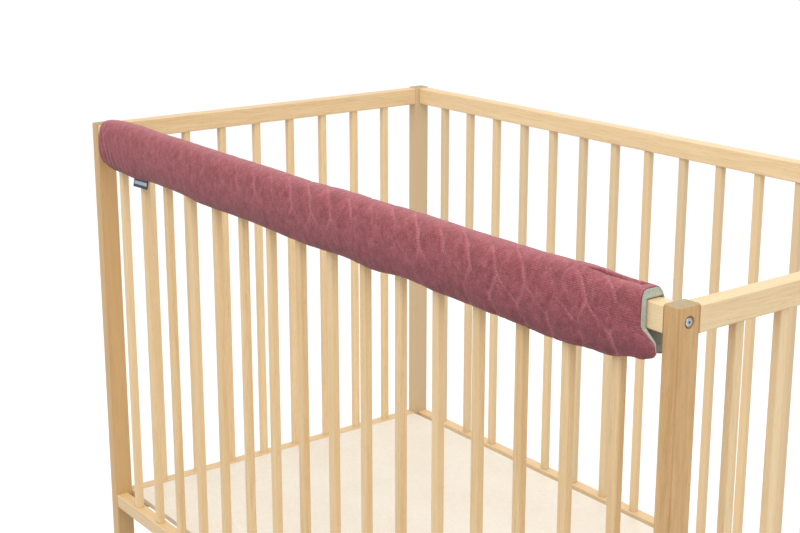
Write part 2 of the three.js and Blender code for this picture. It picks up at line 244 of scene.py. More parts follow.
def true_flats(piece):
    """Keeps the wide flat faces flat in shading, beside their rounded edges."""
    piece.modifiers.new("true_flats", "WEIGHTED_NORMAL").weight = 100


def calc(tree, operation, *values):
    return add(tree, "Math", dict(enumerate(values)), operation=operation).outputs[0]


def blend(tree, share, first, second, kind="MIX"):
    made = add(tree, "Mix", {0: share, 6: first, 7: second}, data_type="RGBA", blend_type=kind)
    return made.outputs[2]


def bump(tree, height, strength, depth, under=None):
    inputs = {"Height": height, "Strength": strength, "Distance": depth}
    if under:
        inputs["Normal"] = under
    return add(tree, "Bump", inputs).outputs["Normal"]


def beech(name, pale, tan, fleck, gloss, edge, edge_share, top, top_share):
    """Beech: long soft streaks, fine growth lines, short brown flecks, and own colours for edges and tops."""
    made, tree, main = shader(name)
    grain = add(tree, "Attribute", attribute_name="grain").outputs["Vector"]
    wear = add(tree, "Attribute", attribute_name="wear").outputs["Fac"]
    whole = add(tree, "Mapping", {"Vector": grain, "Scale": (1, 1, 0.12)}).outputs["Vector"]
    streaked = add(tree, "Mapping", {"Vector": grain, "Scale": (1, 1, 0.045)}).outputs["Vector"]
    dashed = add(tree, "Mapping", {"Vector": grain, "Scale": (1, 0.7, 0.1)}).outputs["Vector"]
    tone = noise(tree, whole, 9, 2)
    streak = noise(tree, streaked, 120, 4, 0.55, 0.6)
    lines = noise(tree, streaked, 620, 3, 0.6, 0.3)
    flecks = between(tree, noise(tree, dashed, 1500, 2, 0.6), 0.6, 0.72)
    mixed = calc(tree, "MULTIPLY_ADD", streak, 0.55, calc(tree, "MULTIPLY", tone, 0.45))
    colour = ramp(tree, mixed, [(0.33, pale), (0.66, tan)])
    colour = blend(tree, between(tree, lines, 0.42, 0.75, 0, 0.34), colour, fleck)
    colour = blend(tree, calc(tree, "MULTIPLY", flecks, 0.4), colour, fleck)
    # On the posts this edge colour is painted shade along the rounded edges, with some wear; on the rails and
    # slats it is a paler wear.
    colour = blend(tree, calc(tree, "MULTIPLY", wear, edge_share), colour, edge)
    tone = add(tree, "Attribute", attribute_name="tone").outputs["Fac"]
    colour = blend(tree, calc(tree, "MULTIPLY", tone, 0.5), colour, pale)
    colour = blend(tree, between(tree, tone, 1, 2, 0, 0.8), colour, PALEST_BEECH)
    upward = add(tree, "SeparateXYZ", {0: add(tree, "NewGeometry").outputs["Normal"]}).outputs[2]
    colour = blend(tree, between(tree, upward, 0.8, 0.98, 0, top_share), colour, top)
    tree.links.new(colour, main.inputs["Base Color"])
    rough = calc(tree, "MULTIPLY_ADD", flecks, 0.15, between(tree, streak, 0.3, 0.7, gloss, gloss + 0.09))
    tree.links.new(rough, main.inputs["Roughness"])
    pores = calc(tree, "MULTIPLY_ADD", flecks, -0.6, lines)
    tree.links.new(bump(tree, pores, 0.35, 0.00012), main.inputs["Normal"])
    main.inputs["IOR"].default_value = 1.48
    main.inputs["Coat Weight"].default_value = 0.08
    main.inputs["Coat Roughness"].default_value = 0.35
    return made


# Edges darkened: painted shade along the rounded edges, with some wear from handling; and end grain on top.
post_beech = beech("beech_posts", paint(216, 179, 125), paint(192, 147, 92), paint(155, 108, 62), 0.44,
                   edge=paint(150, 102, 58), edge_share=0.36, top=paint(150, 134, 94), top_share=0.85)
# 0 is the deepest tone, 1 the palest, and up to 2 ever paler and greyer.
POST_TONES = {"front_right": 0, "front_left": 1.0, "back_right": 1.6, "back_left": 1.75}
for seed, (front, side) in enumerate((f, s) for f in ("front", "back") for s in ("left", "right")):
    node = f"post_{front}_{side}"
    low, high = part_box(node)
    points, faces = planed_bar(low, high, 2, POST_EDGE, POST_EASE)
    post = body(f"planed_{node}", points, faces, post_beech)
    outside = low[0] if side == "left" else high[0]
    for height in HOLE_HEIGHTS:
        bpy.ops.mesh.primitive_cylinder_add(
            vertices=HOLE_STEPS, radius=HOLE_RADIUS, depth=2 * HOLE_DEPTH, rotation=(0, math.pi / 2, 0),
            location=(outside, (low[1] + high[1]) / 2, height))
        drill = bpy.context.object
        bore = post.modifiers.new("bore", "BOOLEAN")
        bore.object = drill
        bore.solver = "EXACT"
        bpy.context.view_layer.objects.active = post
        bpy.ops.object.modifier_apply(modifier=bore.name)
        bpy.data.objects.remove(drill)
    grain, wear = grain_of([v.co for v in post.data.vertices], low, high, 2, POST_EDGE, 3 + seed)
    mark_points(post.data, "grain", grain)
    mark_points(post.data, "wear", wear)
    mark_points(post.data, "tone", np.full(len(wear), POST_TONES[f"{front}_{side}"]))
    post.data.set_sharp_from_angle(angle=math.radians(40))
    true_flats(post)
    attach(post, "root")
    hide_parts(node)

# THE SUNK BOLTS
# Zinc plated steel, one at the top and one at the low rail of each post. The low domed head has a
# six-sided socket and stands on its shank just under the wood's face, tightened from outside with a key.
HEAD_STEPS = 36
SOCKET_HALF = 1.6 * MM
SOCKET_DEPTH = 1.6 * MM
SOCKET_RIM, SOCKET_RIM_DEPTH = 1.12, 0.12 * MM
NEARER_THE_FACE = 1 * MM
# Share of the head's radius, and depth under its crown, from the shank's foot over the dome to the socket.
HEAD_PROFILE = ((0.6, 5.8), (0.6, 2.6), (0.97, 2.6), (1.0, 2.45), (1.0, 1.0), (0.97, 0.72), (0.88, 0.4),
                (0.74, 0.14), (0.62, 0.03))

zinc, tree, main = shader("zinc_bolts")
spot = add(tree, "TexCoord").outputs["Object"]
dull = noise(tree, spot, 900, 3, 0.6)
scuffs = between(tree, noise(tree, spot, 2600, 2, 0.7), 0.55, 0.7)
tree.links.new(ramp(tree, dull, [(0.3, paint(196, 200, 204)), (0.7, paint(150, 155, 162))]),
               main.inputs["Base Color"])
tree.links.new(calc(tree, "MULTIPLY_ADD", scuffs, 0.2, between(tree, dull, 0.3, 0.7, 0.22, 0.38)),
               main.inputs["Roughness"])
tree.links.new(bump(tree, dull, 0.3, 0.0001), main.inputs["Normal"])
main.inputs["Metallic"].default_value = 1

for front in ("front", "back"):
    for side in ("left", "right"):
        for place in ("top", "low"):
            node = f"bolt_{place}_{front}_{side}"
            low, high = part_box(node)
            out = -1 if side == "left" else 1
            crown = (low[0] if side == "left" else high[0]) + out * NEARER_THE_FACE
            radius = (high[1] - low[1]) / 2
            y, z = (low[1] + high[1]) / 2, (low[2] + high[2]) / 2
            rings = [[(radius * share, depth * MM)] * HEAD_STEPS for share, depth in HEAD_PROFILE]
            for widen, depth in ((SOCKET_RIM, 0.0), (1.0, SOCKET_RIM_DEPTH), (1.0, SOCKET_DEPTH)):
                hexagon = []
                for i in range(HEAD_STEPS):
                    turn = i / HEAD_STEPS * 2 * math.pi % (math.pi / 3) - math.pi / 6
                    hexagon.append((widen * SOCKET_HALF / math.cos(turn), depth))
                rings.append(hexagon)
            points = []
            for ring in rings:
                for i, (reach, depth) in enumerate(ring):
                    turn = i / HEAD_STEPS * 2 * math.pi
                    points.append((crown - out * depth, y + out * reach * math.cos(turn),
                                   z + reach * math.sin(turn)))
            faces = [tuple(reversed(range(HEAD_STEPS))),
                     tuple(range(len(points) - HEAD_STEPS, len(points)))]
            for k in range(len(rings) - 1):
                for i in range(HEAD_STEPS):
                    j = (i + 1) % HEAD_STEPS
                    corners = ((k, i), (k, j), (k + 1, j), (k + 1, i))
                    faces.append(tuple(r * HEAD_STEPS + c for r, c in corners))
            bolt = body(f"turned_{node}", points, faces, zinc)
            bolt.data.set_sharp_from_angle(angle=math.radians(35))
            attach(bolt, "root")
            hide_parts(node)

# THE LONG RAILS
# Straight-grained beech bars, paler than the posts, glued and dowelled between them with a hairline joint:
# a deep one on top, which carries the cover at the front, and a lighter one below.
RAIL_EDGE = 2 * MM
RAIL_EASE = 0.35 * MM
# Each bar has a tone of its own, 0 to 1. Those at the back are paler.
TONE_STEP, BACK_TONE, BACK_TONE_SPREAD = 0.618, 1.35, 0.4
RAIL_TOP_TONE = paint(206, 166, 108)

rail_beech = beech("beech_rails", paint(241, 216, 172), paint(224, 192, 144), paint(184, 142, 94), 0.4,
                   edge=paint(241, 216, 172), edge_share=0.18, top=RAIL_TOP_TONE, top_share=0.4)


def planed(name, nodes, bars, finish, first_seed, paler=False):
    """One piece of planed bars, each given as low corner, high corner, run, edge and ease."""
    points, faces, grain, wear, tone = [], [], [], [], []
    for seed, (low, high, along, edge, ease) in enumerate(bars, first_seed):
        bar_points, bar_faces = planed_bar(low, high, along, edge, ease)
        faces += [tuple(i + len(points) for i in face) for face in bar_faces]
        bar_grain, bar_wear = grain_of(bar_points, low, high, along, edge, seed)
        points += bar_points
        grain.append(bar_grain)
        wear.append(bar_wear)
        own = seed * TONE_STEP % 1
        tone.append(np.full(len(bar_wear), BACK_TONE + BACK_TONE_SPREAD * own if paler else own))
    piece = body(name, points, faces, finish, grain=np.concatenate(grain), wear=np.concatenate(wear),
                 tone=np.concatenate(tone))
    piece.data.set_sharp_from_angle(angle=math.radians(50))
    true_flats(piece)
    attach(piece, "root")
    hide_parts(*nodes)


for seed, node in enumerate(("rail_top_front", "rail_top_back", "rail_low_front", "rail_low_back"), 11):
    low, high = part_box(node)
    planed(f"planed_{node}", [node], [(low, high, 0, RAIL_EDGE, RAIL_EASE)], rail_beech, seed)

# THE SLATS
# Thin beech bars with well rounded edges, sixteen a side, let into the two rails. No two are cut from the
# same board, so each has its own tone and grain.
SLAT_EDGE = 3 * MM
SLAT_EASE = 0.2 * MM
SLATS_A_SIDE = 16

slat_beech = beech("beech_slats", paint(240, 212, 166), paint(220, 184, 132), paint(178, 132, 84), 0.42,
                   edge=paint(240, 212, 166), edge_share=0.18, top=RAIL_TOP_TONE, top_share=0.4)
for front in ("front", "back"):
    for i in range(1, SLATS_A_SIDE + 1):
        node = f"slat_{front}_{i}"
        low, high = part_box(node)
        seed = 20 + i + (SLATS_A_SIDE if front == "back" else 0)
        planed(f"planed_{node}", [node], [(low, high, 2, SLAT_EDGE, SLAT_EASE)], slat_beech,
               seed, paler=front == "back")

# THE TWO END FRAMES
# Each is glued up from a top rail, a low rail and eight slats, with a square batten screwed inside the
# low rail for the base to lie on.
END_RAIL_DEPTH, END_RAIL_HEIGHT, END_LOW_HEIGHT = 19.5 * MM, 28.5 * MM, 22.5 * MM
END_LOW_TOP, BATTEN_TOP, BATTEN = 0.170, 0.160, 20 * MM
END_SLATS, END_PITCH = 8, 67.6 * MM
END_SLAT_DEEP, END_SLAT_WIDE = 12 * MM, 12.4 * MM
LET_IN = 2 * MM

for start, side in ((60, "left"), (75, "right")):
    node = f"end_{side}"
    low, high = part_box(node)
    if side == "left":
        rail_x = (low[0], low[0] + END_RAIL_DEPTH)
        batten_x = (high[0] - BATTEN, high[0])
    else:
        rail_x = (high[0] - END_RAIL_DEPTH, high[0])
        batten_x = (low[0], low[0] + BATTEN)
    bars = []
    for (x0, x1), top, height in ((rail_x, high[2], END_RAIL_HEIGHT), (rail_x, END_LOW_TOP, END_LOW_HEIGHT),
                                  (batten_x, BATTEN_TOP, BATTEN)):
        bars.append(((x0, low[1], top - height), (x1, high[1], top), 1, RAIL_EDGE, RAIL_EASE))
    middle_x, middle_y = sum(rail_x) / 2, (low[1] + high[1]) / 2
    for i in range(END_SLATS):
        y = middle_y + (i - (END_SLATS - 1) / 2) * END_PITCH
        bars.append(((middle_x - END_SLAT_DEEP / 2, y - END_SLAT_WIDE / 2, END_LOW_TOP - LET_IN),
                     (middle_x + END_SLAT_DEEP / 2, y + END_SLAT_WIDE / 2,
                      high[2] - END_RAIL_HEIGHT + LET_IN), 2, SLAT_EDGE, SLAT_EASE))
    planed(f"planed_{node}", [node], bars, rail_beech, start)

# THE BASE
# A board of pressed fibre with a pale foil on both faces, laid loose on the two battens. Its edges are
# only broken with paper.
BOARD_EDGE = 0.8 * MM

foil, tree, main = shader("base_board")
spot = add(tree, "TexCoord").outputs["Object"]
stretched = add(tree, "Mapping", {"Vector": spot, "Scale": (0.15, 1, 1)}).outputs["Vector"]
fibre = noise(tree, stretched, 420, 4, 0.6)
cloud = noise(tree, spot, 7, 2)
scuff = between(tree, noise(tree, spot, 60, 5, 0.7), 0.6, 0.75)
colour = ramp(tree, fibre, [(0.3, paint(240, 234, 222)), (0.7, paint(229, 220, 204))])
colour = blend(tree, between(tree, cloud, 0.35, 0.7, 0, 0.3), colour, paint(222, 210, 190))
tree.links.new(colour, main.inputs["Base Color"])
tree.links.new(calc(tree, "MULTIPLY_ADD", scuff, 0.2, 0.42), main.inputs["Roughness"])
tree.links.new(bump(tree, fibre, 0.25, 0.00015), main.inputs["Normal"])

low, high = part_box("mattress_base")
planed("foiled_mattress_base", ["mattress_base"], [(low, high, 0, BOARD_EDGE, BOARD_EDGE)], foil,
       90)

# THE QUILTED VELVET
# One long strip of rose velvet, wadded and quilted in rows of pointed ovals, folded over the rail with its
# low edges drawn in to the slats. Gathered at the left end, creased on top at the right.
RAIL_LOW, RAIL_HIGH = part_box("rail_top_front")
RAIL_MIDDLE_Y, RAIL_TOP = (RAIL_LOW[1] + RAIL_HIGH[1]) / 2, RAIL_HIGH[2]
RAIL_HALF = (RAIL_HIGH[1] - RAIL_LOW[1]) / 2 / MM
CRIB_LEFT = -620
# Millimetres from the crib's left end: x, how far the cover stands out at the front and at the back of the
# rail, its height over the rail, its depth below the rail's top, how far its low edge runs ahead, and how
# square its front shoulder is. Near the right end the back hangs a little shorter than the front.
SECTIONS = np.array((
    (35, 4.8, 4.8, 5, 46, 0, 2.5), (37.5, 7.4, 7.2, 7.6, 50, 0, 2.5), (41, 9.3, 8.7, 9.7, 54, 0, 2.5),
    (46, 10.6, 9.4, 11.1, 56.5, 0, 2.5), (54, 11.5, 9.5, 11.9, 58.5, 0, 2.5), (72, 12.5, 10.5, 13.6, 62, 0, 2.5),
    (100, 13, 11, 15, 62.5, 0, 2.5), (150, 13, 11, 14.8, 64.5, 0, 2.5), (190, 12.5, 11, 13.6, 61.5, 0, 2.5),
    (225, 12.5, 11, 13.4, 61.3, 0, 2.5), (260, 13, 11, 13.4, 60.8, 0, 2.5), (300, 13.3, 11, 12.8, 62.3, 0, 2.5),
    (340, 13.5, 11, 12.4, 66, 0, 2.5), (460, 13, 11, 11.8, 65.3, 0, 2.5), (520, 13.5, 11, 11.5, 66.6, 0, 2.5),
    (610, 13, 11, 10.2, 69, 0, 2.5), (700, 13.5, 11, 12.4, 67.3, 0, 2.5), (760, 13, 11, 11.6, 69.6, 0, 2.5),
    (820, 13.5, 11, 12.8, 65.6, 0, 2.5), (880, 13, 11, 11.8, 68.2, 0, 2.5), (1000, 12.5, 10.5, 11, 70.2, 0, 2.5),
    (1070, 11.5, 10, 12, 72.5, 0, 2.5), (1125, 11, 9, 13.6, 69.1, 0, 2.7), (1155, 10.5, 8.5, 11.4, 68, 2, 3.4),
    (1180, 9.5, 7.5, 11.2, 61.3, 10, 4.6), (1191, 9, 8, 11.9, 60.5, 16, 5.4), (1198, 8.8, 8, 12, 56.5, 19, 6)))
FIRST, LAST = SECTIONS[0, 0], SECTIONS[-1, 0]
MIDDLE, LIP_IN, TOP_SHARE = 22, 1.5, 0.42
BACK_SHOULDER, LOW_SHOULDER = 2.3, 2.3
CELL, ROW, MEET, DRIFT, HELD_TOGETHER = 44, 45, -33, 0.35, 1.3
HOLLOW, HOLLOW_WIDTH, GROOVE, GROOVE_WIDTH, PUFF = 0.85, 6.5, 1.1, 1.7, 0.4
LOW_HIDDEN_FROM_TO, RIGHT_SHOWN_FROM_TO, LOW_SHOWN = (40, 62), (880, 980), 0.2
SLACK, TAUT_FROM_TO, SECOND_SET_FROM_TO, CALM_FROM_TO = 0.15, (330, 700), (16, 30), (-16, 2)
CREASE_FROM_TO, CREASE_NEAR, CREASE_FAR = (1106, 1130), 4 - RAIL_HALF, 11 - RAIL_HALF
HANG_FROM_TO, ROUNDED, ROUNDED_FROM_TO = (24, 40), 0.75, (47, 62)
BACK_SHORTER, SHORTER_FROM_TO = 3.2, (1150, 1188)
CREASE_TURNS, CREASE_FADES, CREASE_CALM = 1118, (4, 18), 0.8
CREASE_CUT, CREASE_CUT_WIDTH = 2.4, 1.0
STRAY, STRAY_SHORTEST, STRAY_LONGEST = 1.3, 11, 34
PUCKER, PUCKER_WIDTH, LUMPS, SMALL_LUMPS = 0.5, 5, 0.45, 0.12
# The gathers' reach from the left end, then height and pitch of the wide ones and of the close ones.
GATHER_REACH, GATHER_WIDE, GATHER_CLOSE = 55, (1.05, 15), (0.6, 6.7)
WRINKLES_FROM, WRINKLES_GIRTH, WRINKLES, WRINKLES_IN_FAN = 1112, 12, 0.6, 11
END_ROLL = 0.8
RINGS, INNER_EACH = 600, 2


def smooth(value, low, high):
    t = np.clip((value - low) / (high - low), 0, 1)
    return t * t * (3 - 2 * t)


def section_at(x):
    """The table's other columns at each x, on smooth curves through its rows."""
    last = len(SECTIONS) - 1
    i = np.clip(np.searchsorted(SECTIONS[:, 0], x, "right") - 1, 0, last - 1)
    before, a, b, after = (SECTIONS[np.clip(i + k, 0, last)] for k in (-1, 0, 1, 2))
    span = (b[:, :1] - a[:, :1])
    t = np.clip((x[:, None] - a[:, :1]) / span, 0, 1)
    slope_a = (b - before) / (b[:, :1] - before[:, :1]) * span
    slope_b = (after - a) / (after[:, :1] - a[:, :1]) * span
    found = ((2 * t ** 3 - 3 * t ** 2 + 1) * a + (t ** 3 - 2 * t ** 2 + t) * slope_a
             + (3 * t ** 2 - 2 * t ** 3) * b + (t ** 3 - t ** 2) * slope_b)
    section = dict(zip(("front", "back", "top", "low", "lead", "square"), found[:, 1:].T[:, :, None]))
    section["back_low"] = section["low"] - BACK_SHORTER * smooth(x[:, None], *SHORTER_FROM_TO)
    return section


def outside_of(section, u):
    """The plain outside, y from the rail's middle and z from its top, from u -1 in front to 1 behind."""
    side, share = np.where(u < 0, -1, 1), np.abs(u)
    out = RAIL_HALF + np.where(u < 0, section["front"], section["back"])
    top_turn = np.clip(share / TOP_SHARE, 0, 1) * math.pi / 2
    low_turn = np.clip((share - TOP_SHARE) / (1 - TOP_SHARE), 0, 1) * math.pi / 2
    lip = RAIL_HALF - LIP_IN
    on_top = share <= TOP_SHARE
    top_power, low_power = 2 / np.where(u < 0, section["square"], BACK_SHOULDER), 2 / LOW_SHOULDER
    cos_top, cos_low = np.maximum(np.cos(top_turn), 0), np.maximum(np.cos(low_turn), 0)
    y = np.where(on_top, out * np.sin(top_turn) ** top_power, lip + (out - lip) * cos_low ** low_power)
    z = np.where(on_top, -MIDDLE + (section["top"] + MIDDLE) * cos_top ** top_power,
                 -MIDDLE - (np.where(u < 0, section["low"], section["back_low"]) - MIDDLE)
                 * np.sin(low_turn) ** low_power)
    return side * y, z


def girth_at(section, u):
    """Millimetres round the smooth outside from its top, less than 0 in front."""
    fine = np.linspace(-1, 1, 401)[None, :]
    y, z = outside_of(section, fine)
    run = np.concatenate([0 * y[:, :1], np.cumsum(np.hypot(np.diff(y), np.diff(z)), 1)], 1)
    run -= run[:, 200:201]
    return np.stack([np.interp(np.broadcast_to(u, (len(run), u.shape[1]))[k], fine[0], row)
                     for k, row in enumerate(run)])


def standing_off(section, u, distance):
    nudge = 0.01
    y, z = outside_of(section, u)
    y0, z0 = outside_of(section, np.maximum(u - nudge, -1))
    y1, z1 = outside_of(section, np.minimum(u + nudge, 1))
    length = np.hypot(y1 - y0, z1 - z0)
    return y - (z1 - z0) / length * distance, z + (y1 - y0) / length * distance


def swell(x, girth, seed, count, longest, shortest):
    """A smooth uneven swell between -1 and 1: a few fixed waves at mixed angles."""
    draw = np.random.default_rng(seed)
    total = 0
    for _ in range(count):
        length = draw.uniform(shortest, longest)
        angle = draw.uniform(0, math.pi)
        phase = draw.uniform(0, 2 * math.pi)
        across = x * math.cos(angle) + girth * math.sin(angle)
        total = total + np.sin(2 * math.pi * across / length + phase)
    return total / count ** 0.5 / 1.4


def from_seams(x, girth):
    """Millimetres to the nearest seam of either set of waves, that meet and part as mirror pictures."""
    shifted = x + DRIFT * girth
    wave = CELL / 4 * np.clip(HELD_TOGETHER * np.cos(math.pi * (girth - MEET) / ROW), -1, 1)
    lines = shifted - wave, shifted + wave - CELL / 2
    return [np.abs(line - CELL * np.round(line / CELL)) for line in lines]


def wander(x, girth):
    """How far hand-guided seams stray from their drawn waves."""
    return STRAY * swell(x, girth, 11, 6, STRAY_LONGEST, STRAY_SHORTEST)


def pressed(distance, width):
    return np.exp(-((distance / width) ** 2))


def crease_at(section, x, u):
    """How far behind the crease on top each point lies, and how deep the crease is there, 0 to 1."""
    run = np.clip((x - CREASE_TURNS) / (LAST - CREASE_TURNS), 0, 1)
    behind = outside_of(section, u)[0] - (CREASE_NEAR + (CREASE_FAR - CREASE_NEAR) * run)
    return behind, (np.abs(u) < TOP_SHARE) * smooth(x, *CREASE_FROM_TO) * smooth(LAST - x, *CREASE_FADES)


def relief(section, x, u):
    """How far quilting, lumps, gathers and the crease lift or sink the velvet."""
    girth = girth_at(section, u)
    to_end = np.minimum(x - FIRST, LAST - x)
    fade = smooth(to_end, 0, 6) * smooth(1 - np.abs(u), 0, 0.12)
    behind, deep = crease_at(section, x, u)
    by_crease = 1 - CREASE_CALM * deep * smooth(behind, -4, 1)
    calm = (1 - 0.5 * smooth(girth, *CALM_FROM_TO)) * by_crease
    taut = SLACK + (1 - SLACK) * smooth(x, *TAUT_FROM_TO)
    taut = taut * (1 - (1 - LOW_SHOWN) * smooth(-girth, *LOW_HIDDEN_FROM_TO)
                   * (1 - smooth(x, *RIGHT_SHOWN_FROM_TO)))
    pull = taut, taut * smooth(-girth, *SECOND_SET_FROM_TO)
    near = from_seams(x + wander(x, girth), girth)
    hollow = np.maximum(*(p * pressed(d, HOLLOW_WIDTH) for p, d in zip(pull, near)))
    groove = np.maximum(*(p * pressed(d, GROOVE_WIDTH) for p, d in zip(pull, near)))
    quilt = calm * (PUFF - HOLLOW * hollow) - GROOVE * groove * by_crease
    crinkled = np.maximum(*(p * pressed(d, PUCKER_WIDTH) for p, d in zip(pull, near)))
    pucker = PUCKER * crinkled * swell(x, girth, 5, 9, 8, 3.8)
    lumps = calm * LUMPS * swell(x, girth, 7, 8, 150, 45) + SMALL_LUMPS * swell(x, 0.35 * girth, 9, 9, 26, 9)
    from_end = x - FIRST
    leaning = from_end + 0.3 * girth
    bend = 0.8 * np.sin(5 * u + 0.4)
    (wide, wide_pitch), (close, close_pitch) = GATHER_WIDE, GATHER_CLOSE
    gather = (np.exp(-from_end / GATHER_REACH) * (0.3 + 0.7 * smooth(-girth, 12, 48))
              * (wide * np.sin(2 * math.pi * leaning / wide_pitch + bend)
                 + close * np.sin(2 * math.pi * leaning / close_pitch + 1.7 * bend + 1)))
    step = 1.9 * smooth(behind, -0.2, 1.6) - smooth(behind, -9, -1.5) - 0.9 * smooth(behind, 3, 12)
    crease = deep * (step - CREASE_CUT * pressed(behind, CREASE_CUT_WIDTH))
    fan = np.arctan2(x - WRINKLES_FROM, WRINKLES_GIRTH - girth * 0.8)
    distance = np.hypot(x - WRINKLES_FROM, girth + WRINKLES_GIRTH)
    wrinkles = (WRINKLES * pressed(distance - 16, 13) * np.sin(WRINKLES_IN_FAN * fan)
                * smooth(-girth, 2, 12))
    return fade * (quilt + pucker + lumps + gather + wrinkles) + crease


def place(section, x, y, z):
    """Millimetres around the rail, to metres in the crib's frame."""
    hang = smooth(-z, *HANG_FROM_TO) - ROUNDED * smooth(-z, *ROUNDED_FROM_TO)
    return np.stack([(CRIB_LEFT + x + section["lead"] * hang) * MM,
                     RAIL_MIDDLE_Y + y * MM + 0 * x, RAIL_TOP + z * MM + 0 * x], -1)


# The face between wadding and lining: u, and out from the rail's middle. Its heights are in inside_of.
WALL = 2.0
SIDE, CORNER = RAIL_HALF + 0.4 + WALL, RAIL_HALF + 1 + 0.7 * WALL
INSIDE_U = np.array((-1, -0.75, -0.375, -0.25, -0.125, 0, 0.125, 0.25, 0.375, 0.75, 1))
INSIDE_Y = np.array((RAIL_HALF - 1, SIDE, SIDE, CORNER, CORNER / 2, 0))
MOUTH_DEPTH, BAND_DEPTH, MOUTH_EDGE = 14, 2.2, 1.0
FRONT_LIP, BACK_LIP, LIP_RISE = 1.5, 0.6, 11


def inside_of(section, x, u):
    """The inner face at each x and u: close round the rail, flared out to the seam at both ends."""
    low, back_low = section["low"][:, 0], section["back_low"][:, 0]
    over = [height + 0 * low for height in (-5, 1 + 0.7 * WALL, 0.6 + WALL)]
    heights = np.stack([-low + FRONT_LIP, -low + LIP_RISE, *over, over[-1], *reversed(over),
                        -back_low + LIP_RISE, -back_low + BACK_LIP], 1)
    widths = np.concatenate([-INSIDE_Y, INSIDE_Y[-2::-1]])
    y = np.tile(np.interp(u[0], INSIDE_U, widths), (len(low), 1))
    z = np.stack([np.interp(u[0], INSIDE_U, row) for row in heights])
    to_end = np.minimum(x - FIRST, LAST - x)
    below = smooth(np.abs(u), 0.56, 0.74)
    band = np.clip(1 - to_end / BAND_DEPTH, 0, 1) ** 3
    flare = band + (1 - smooth(to_end, 0, MOUTH_DEPTH) - band) * below
    seam_y, seam_z = standing_off(section, u, relief(section, x, u) - MOUTH_EDGE)
    return y + (seam_y - y) * flare, z + (seam_z - z) * flare


def spaced_x():
    """Where the strip is cut: even along it, closer at the two rolled ends."""
    roll = END_ROLL * (1 - np.cos(np.linspace(0, math.pi / 2, 5)))
    near = np.linspace(END_ROLL, 8, 9)[:-1]
    inner = np.linspace(FIRST + 8, LAST - 8, RINGS - 24)
    start = np.concatenate([roll[:-1], near])
    return np.concatenate([FIRST + start, inner, (LAST - start)[::-1]])


def swept(rings, cuts):
    """Faces of a closed skin through equal rings, its ends left to be closed."""
    faces = []
    for k in range(cuts - 1):
        for i in range(rings):
            j = (i + 1) % rings
            faces.append((k * rings + i, (k + 1) * rings + i, (k + 1) * rings + j, k * rings + j))
    return faces


def cloth_of(tree):
    """Place along the cloth, place across it, and a third value of each piece's own."""
    marks = add(tree, "Attribute", attribute_name="cloth").outputs["Vector"]
    return add(tree, "SeparateXYZ", {0: marks}).outputs


RIB_PITCH, STITCH_PITCH = 2.3, 3.4
SHADE, MIDDLE_PILE, LIT = paint(122, 63, 70), paint(151, 82, 88), paint(177, 106, 110)
BRUSHED, THREAD, CREASE_PAINTED_SHADE = paint(190, 118, 124), paint(206, 140, 144), paint(92, 36, 44)

velvet, tree, main = shader("rose_velvet")
cloth = cloth_of(tree)
spot = add(tree, "TexCoord").outputs["Object"]
shifted = calc(tree, "MULTIPLY_ADD", cloth[1], DRIFT, cloth[0])
swing = calc(tree, "MULTIPLY", calc(tree, "SUBTRACT", cloth[1], MEET), math.pi / ROW)
swing = calc(tree, "MULTIPLY", calc(tree, "COSINE", swing), HELD_TOGETHER)
wave = calc(tree, "MULTIPLY", calc(tree, "MAXIMUM", calc(tree, "MINIMUM", swing, 1.0), -1.0), CELL / 4)
first_set = calc(tree, "PINGPONG", calc(tree, "SUBTRACT", shifted, wave), CELL / 2)
other = calc(tree, "PINGPONG", calc(tree, "SUBTRACT", calc(tree, "ADD", shifted, wave), CELL / 2), CELL / 2)
held = between(tree, cloth[1], -SECOND_SET_FROM_TO[1], -SECOND_SET_FROM_TO[0], 0, CELL)
seam = calc(tree, "MINIMUM", first_set, calc(tree, "ADD", other, held))
taut = between(tree, cloth[0], *TAUT_FROM_TO, SLACK, 1)
along_seam = calc(tree, "SINE", calc(tree, "MULTIPLY", cloth[1], 2 * math.pi / STITCH_PITCH))
stitches = between(tree, along_seam, -0.6, 0.3)
thread = calc(tree, "MULTIPLY", between(tree, seam, 0.35, 1.1, 1, 0), stitches)
brushed = between(tree, seam, 1.1, 4.8, 1, 0)
streaks = add(tree, "Mapping", {"Vector": spot, "Scale": (1.25, 0.9, 0.9)}).outputs["Vector"]
nap = noise(tree, streaks, 80, 6, 0.66, 0.7)
pile = noise(tree, spot, 520, 3, 0.7)
fine_pile = noise(tree, spot, 2600, 2, 0.6)
rib = calc(tree, "SINE", calc(tree, "MULTIPLY", cloth[1], 2 * math.pi / RIB_PITCH))
lie = calc(tree, "MULTIPLY_ADD", pile, 0.45, calc(tree, "MULTIPLY", nap, 0.55))
lie = calc(tree, "MULTIPLY_ADD", rib, 0.035, lie)
shown = calc(tree, "MULTIPLY", taut, between(tree, noise(tree, spot, 22, 3, 0.6), 0.38, 0.58, 0.15, 1))
low_shown = between(tree, cloth[1], -LOW_HIDDEN_FROM_TO[1], -LOW_HIDDEN_FROM_TO[0], LOW_SHOWN, 1)
low_shown = calc(tree, "MAXIMUM", low_shown, between(tree, cloth[0], *RIGHT_SHOWN_FROM_TO))
shown = calc(tree, "MULTIPLY", shown, low_shown)
colour = ramp(tree, lie, [(0.36, SHADE), (0.5, MIDDLE_PILE), (0.64, LIT)])
